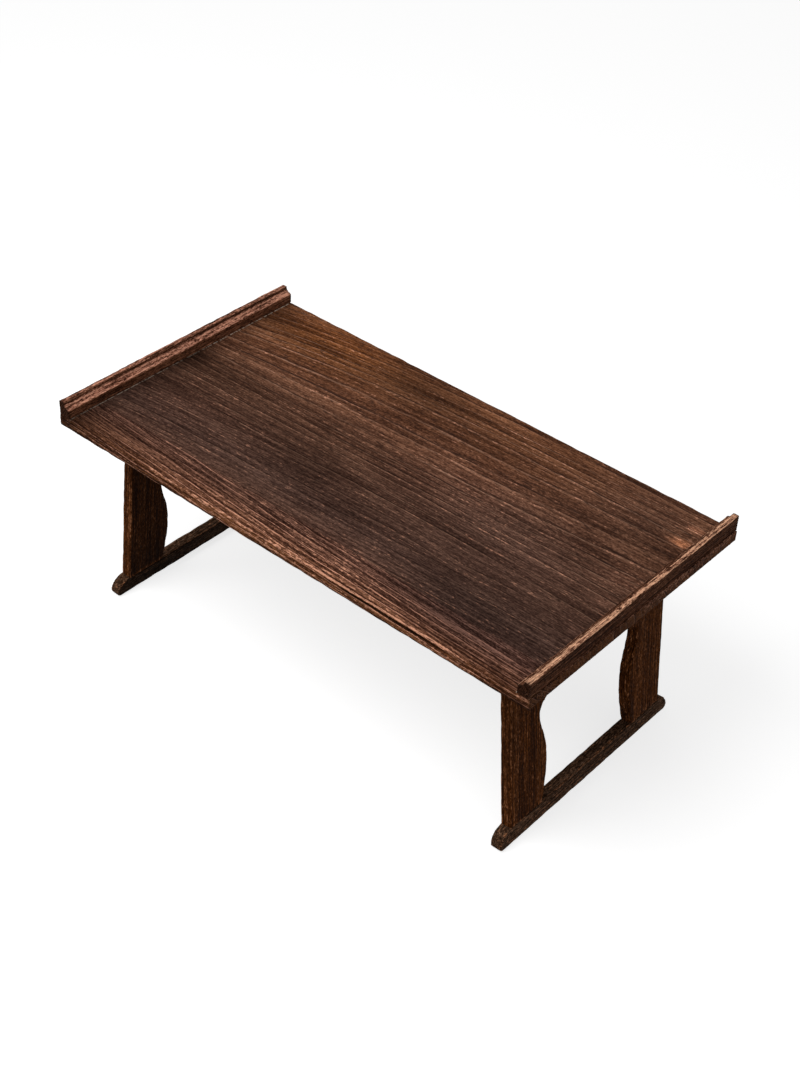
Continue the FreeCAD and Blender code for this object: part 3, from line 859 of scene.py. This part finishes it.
def setOnFloor(bm):
    # the splay leaves less height on the inner side, which comes off the toes and the sole
    toeDrop = runnerDrop + legs["runnerHeight"] - legs["runnerToe"]
    for vert in bm.verts:
        share = max(0, -vert.co.z - toeDrop) / legs["runnerToe"]
        floorDrop = (hingeLine.z + vert.co.x * leanSin) / leanCos
        vert.co.z -= share * (floorDrop - runnerDrop - legs["runnerHeight"])


def railOutline():
    half = legs["frameWidth"] / 2 - legs["waist"] - legs["coveRadius"]
    low, high = -legs["railDrop"], legs["spare"]
    return [(-half, low), (half, low), (half, high), (-half, high)]


legPieces = {                             # cells along x, y and z; painted shade on the inside faces and towards the foot
    "post": {"outline": postOutline(), "grainAxis": 2, "cells": (0.0018, 0.0012, 0.005),
             "ringGap": (0.0016, 0.0038), "ringLean": 35, "drift": 0.0030, "inside": 0.52,
             "footShade": 0.30, "finish": postWood},
    "rail": {"outline": railOutline(), "grainAxis": 1, "cells": (0.0025, 0.005, 0.0016),
             "ringGap": (0.0020, 0.0044), "ringLean": 30, "drift": 0.0025, "inside": 0.35,
             "footShade": 0.0, "finish": postWood},
    "runner": {"outline": runnerOutline(), "grainAxis": 1, "cells": (0.0014, 0.004, 0.0013),
               "ringGap": (0.0014, 0.0030), "ringLean": 40, "drift": 0.0018, "inside": 0.72,
               "footShade": 0.0, "finish": runnerWood},
}


def flatEnd(kind, mid):
    # edges that meet another piece, or are cut off later
    head = legs["frameWidth"] / 2 - legs["waist"] - legs["coveRadius"]
    if kind == "post":
        return near(mid.z, -runnerDrop) or mid.z > legs["spare"] - tiny or near(mid.y, -head)
    return kind == "rail" and not near(mid.z, -legs["railDrop"])


def legFinish(spots, normals, grain, arris, piece, side, seed):
    wear = legs["arrisWear"] * arris + legs["restWear"]
    wear = wear + legs["wearSwell"] * waver(grain, legs["wearReach"], seed + 3)
    wear = wear + legs["edgeWear"] * (np.abs(normals[:, 1]) > legs["edgeFacing"])
    tone = 1 + legs["toneSwell"] * waver(grain, legs["toneReach"], seed + 4)
    # painted shade on the inner faces, deepest towards the foot
    low = smoothStep(-spots[:, 2], runnerDrop - legs["footReach"], runnerDrop)
    shade = piece["inside"] + piece["footShade"] * low
    tone = tone * (1 - shade * smoothStep(-normals[:, 0], *legs["shadeFacing"]))
    # painted shade on the front faces of the right leg
    tone = tone * (1 - legs["frontShade"][side] * smoothStep(-normals[:, 1], *legs["shadeFacing"]))
    return np.column_stack((wear, tone, np.zeros(len(spots))))


def buildLegPiece(kind, node, name, side, row, seed):
    piece = legPieces[kind]
    bm = prism([(legs["hingeOffset"], y, z) for y, z in piece["outline"]], (legs["stock"], 0, 0))
    arrises = edgesWhere(bm, lambda mid, run: abs(run.x) < tiny and not flatEnd(kind, mid))
    rounded(bm, arrises, legs["arris"], legs["arrisSteps"])
    if kind == "runner":
        setOnFloor(bm)
    for axis, step in enumerate(piece["cells"]):
        sliceAlong(bm, axis, step)

    spots, normals = spotsOf(bm), normalsOf(bm)
    axis = piece["grainAxis"]
    grain = np.column_stack((spots[:, axis], spots[:, 3 - axis], spots[:, 0]))
    grain = grain + np.array([legs["grainShift"], 0, 0]) * seed
    rings = ringsAt(grain, grain[:, 1], grain[:, 2], {**legs["swells"], **piece}, seed)
    arris = 2 * np.abs(normals[:, 0]) * np.sqrt(np.clip(1 - normals[:, 0] ** 2, 0, 1))
    dips = legs["brushDepth"] * (1 - ringRidge(rings, postLook["line"]))
    dips = dips + legs["nickDepth"] * nicksAt(grain, legs["nickReach"], seed + 5) * arris
    down = standing.to_3x3().inverted() @ Vector((0, 0, -1))
    dips[normals @ np.array(down) > aligned] = 0            # nothing comes off the sole
    brush(bm, normals, dips, grain, rings, legFinish(spots, normals, grain, arris, piece, side, seed))

    flip = Matrix.Diagonal((1, row, 1, 1))
    mirror = Matrix.Diagonal((side, 1, 1, 1))
    bmesh.ops.transform(bm, matrix=mirror @ standing @ flip, verts=bm.verts[:])
    if side * row < 0:
        bmesh.ops.reverse_faces(bm, faces=bm.faces[:])
    if kind != "runner":
        trimAt(bm, Vector((0, 0, underside - legs["stopGap"])), Vector((0, 0, 1)))
    body = "left_leg" if side < 0 else "right_leg"
    return asPiece(bm, name, node, body, piece["finish"])


seed = legs["seed"]
for sideName, side in (("left", -1), ("right", 1)):
    for rowName, row in (("front", 1), ("back", -1)):
        seed += 10
        name = sideName + rowName.title() + "Post"
        buildLegPiece("post", "post_%s_%s" % (sideName, rowName), name, side, row, seed)
    for kind in ("rail", "runner"):
        seed += 10
        buildLegPiece(kind, "%s_%s" % (kind, sideName), sideName + kind.title(), side, 1, seed)
    print("leg frame", sideName, "done")


# Hinges and screws keep their solids and get plated metal

plating = {
    "cloudScale": (160, 160, 160), "cloudDetail": 4.0, "cloudRough": 0.6, "cloudEdge": (0.38, 0.66),
    "scratchScale": (2400, 90, 2400), "scratchRough": 0.12, "scratchDepth": 0.00004,
}


def platedMetal(name, base, tarnish, rough):
    material, tree, shader = newMaterial(name)
    position = put(tree, "TexCoord", {}).outputs["Object"]
    cloud = speckle(tree, position, plating["cloudScale"], plating["cloudDetail"], plating["cloudRough"])
    cloud = ramp(tree, cloud, *plating["cloudEdge"])
    scratch = speckle(tree, position, plating["scratchScale"])
    scratched = calc(tree, "MULTIPLY", scratch, plating["scratchRough"])
    level = calc(tree, "ADD", ramp(tree, cloud, 0.0, 1.0, rough[0], rough[1]), scratched)
    relieved = {"Height": scratch, "Distance": plating["scratchDepth"], "Strength": 1.0}
    feed(tree, shader, {
        "Base Color": mixed(tree, cloud, base, tarnish), "Roughness": level, "Metallic": 1.0,
        "Normal": put(tree, "Bump", relieved).outputs[0]})
    return material


metals = {
    "hinge_metal": platedMetal(
        "hingeBronze", (0.24, 0.155, 0.080, 1), (0.10, 0.065, 0.037, 1), (0.34, 0.52)),
    "pin_steel": platedMetal(
        "pinSteel", (0.42, 0.40, 0.37, 1), (0.25, 0.23, 0.20, 1), (0.25, 0.42)),
    "screw_steel": platedMetal(
        "screwBronze", (0.36, 0.26, 0.15, 1), (0.16, 0.11, 0.065, 1), (0.28, 0.45)),
}
for part in frame["record"]["subparts"]:
    if part["material_slot"] in metals:
        solid = frame["nodes"][part["node"]]
        solid.data.materials.clear()
        solid.data.materials.append(metals[part["material_slot"]])
print("metal finishes set")


# Floor, light and camera

studio = {
    "floorSize": 8.0, "floorDrop": 0.0003, "floorColour": (0.50, 0.50, 0.50, 1), "floorRough": 0.9,
    "floorGlow": 0.72, "bounceColour": (0.42, 0.42, 0.42, 1), "skyLight": 0.38, "white": (1, 1, 1, 1),
    "key": {"place": (-0.35, -0.90, 1.70), "aim": (0, 0, 0.2), "size": 1.2, "power": 23.0},
}
viewpoint = {
    "azimuth": 39.466, "elevation": 38.452, "roll": 2.885, "lens": 60.015,
    "place": (0.899106, -1.069271, 1.264406),
}


def seenDirectly(tree):
    # camera, mirror and see-through rays meet the white studio
    path = put(tree, "LightPath", {}).outputs
    seen = calc(tree, "MAXIMUM", path["Is Camera Ray"], path["Is Glossy Ray"])
    return calc(tree, "MAXIMUM", seen, path["Is Transmission Ray"])


def buildFloor():
    bm = bmesh.new()
    bmesh.ops.create_grid(bm, x_segments=4, y_segments=4, size=studio["floorSize"] / 2)
    mesh = bpy.data.meshes.new("floor")
    bm.to_mesh(mesh)
    bm.free()
    floor = bpy.data.objects.new("floor", mesh)
    floor.location.z = -studio["floorDrop"]
    bpy.context.scene.collection.objects.link(floor)
    material, tree, shader = newMaterial("paleFloor")
    seen = seenDirectly(tree)
    shade = mixed(tree, seen, studio["bounceColour"], studio["floorColour"])
    glow = calc(tree, "MULTIPLY", seen, studio["floorGlow"])
    feed(tree, shader, {
        "Base Color": shade, "Roughness": studio["floorRough"], "Specular IOR Level": 0.0,
        "Emission Color": studio["white"], "Emission Strength": glow})
    mesh.materials.append(material)


def buildLamp(name, lamp):
    light = bpy.data.lights.new(name, "AREA")
    light.size = lamp["size"]
    light.energy = lamp["power"]
    made = bpy.data.objects.new(name, light)
    made.location = lamp["place"]
    aim = Vector(lamp["aim"]) - Vector(lamp["place"])
    made.rotation_euler = aim.to_track_quat("-Z", "Y").to_euler()
    bpy.context.scene.collection.objects.link(made)


def buildSky():
    world = bpy.data.worlds.new("studioSky")
    world.use_nodes = True
    tree = world.node_tree
    strength = ramp(tree, seenDirectly(tree), 0.0, 1.0, studio["skyLight"], 1.0)
    feed(tree, tree.nodes["Background"], {"Color": studio["white"], "Strength": strength})
    bpy.context.scene.world = world


def buildCamera():
    camera = bpy.data.objects.new("camera", bpy.data.cameras.new("camera"))
    camera.data.lens = viewpoint["lens"]
    turns = [math.radians(viewpoint[name]) for name in ("azimuth", "elevation", "roll")]
    azimuth, elevation, roll = turns
    outwards = Vector((math.sin(azimuth), -math.cos(azimuth), 0))
    back = outwards * math.cos(elevation) + Vector((0, 0, math.sin(elevation)))
    level = Vector((math.cos(azimuth), math.sin(azimuth), 0))
    above = back.cross(level)
    right = level * math.cos(roll) + above * math.sin(roll)
    up = above * math.cos(roll) - level * math.sin(roll)
    turned = Matrix((right, up, back)).transposed().to_4x4()
    camera.matrix_world = Matrix.Translation(viewpoint["place"]) @ turned
    bpy.context.scene.collection.objects.link(camera)
    bpy.context.scene.camera = camera


buildFloor()
buildSky()
buildLamp("keySoftbox", studio["key"])
buildCamera()
bpy.context.scene.view_settings.view_transform = "Standard"
print("studio set")
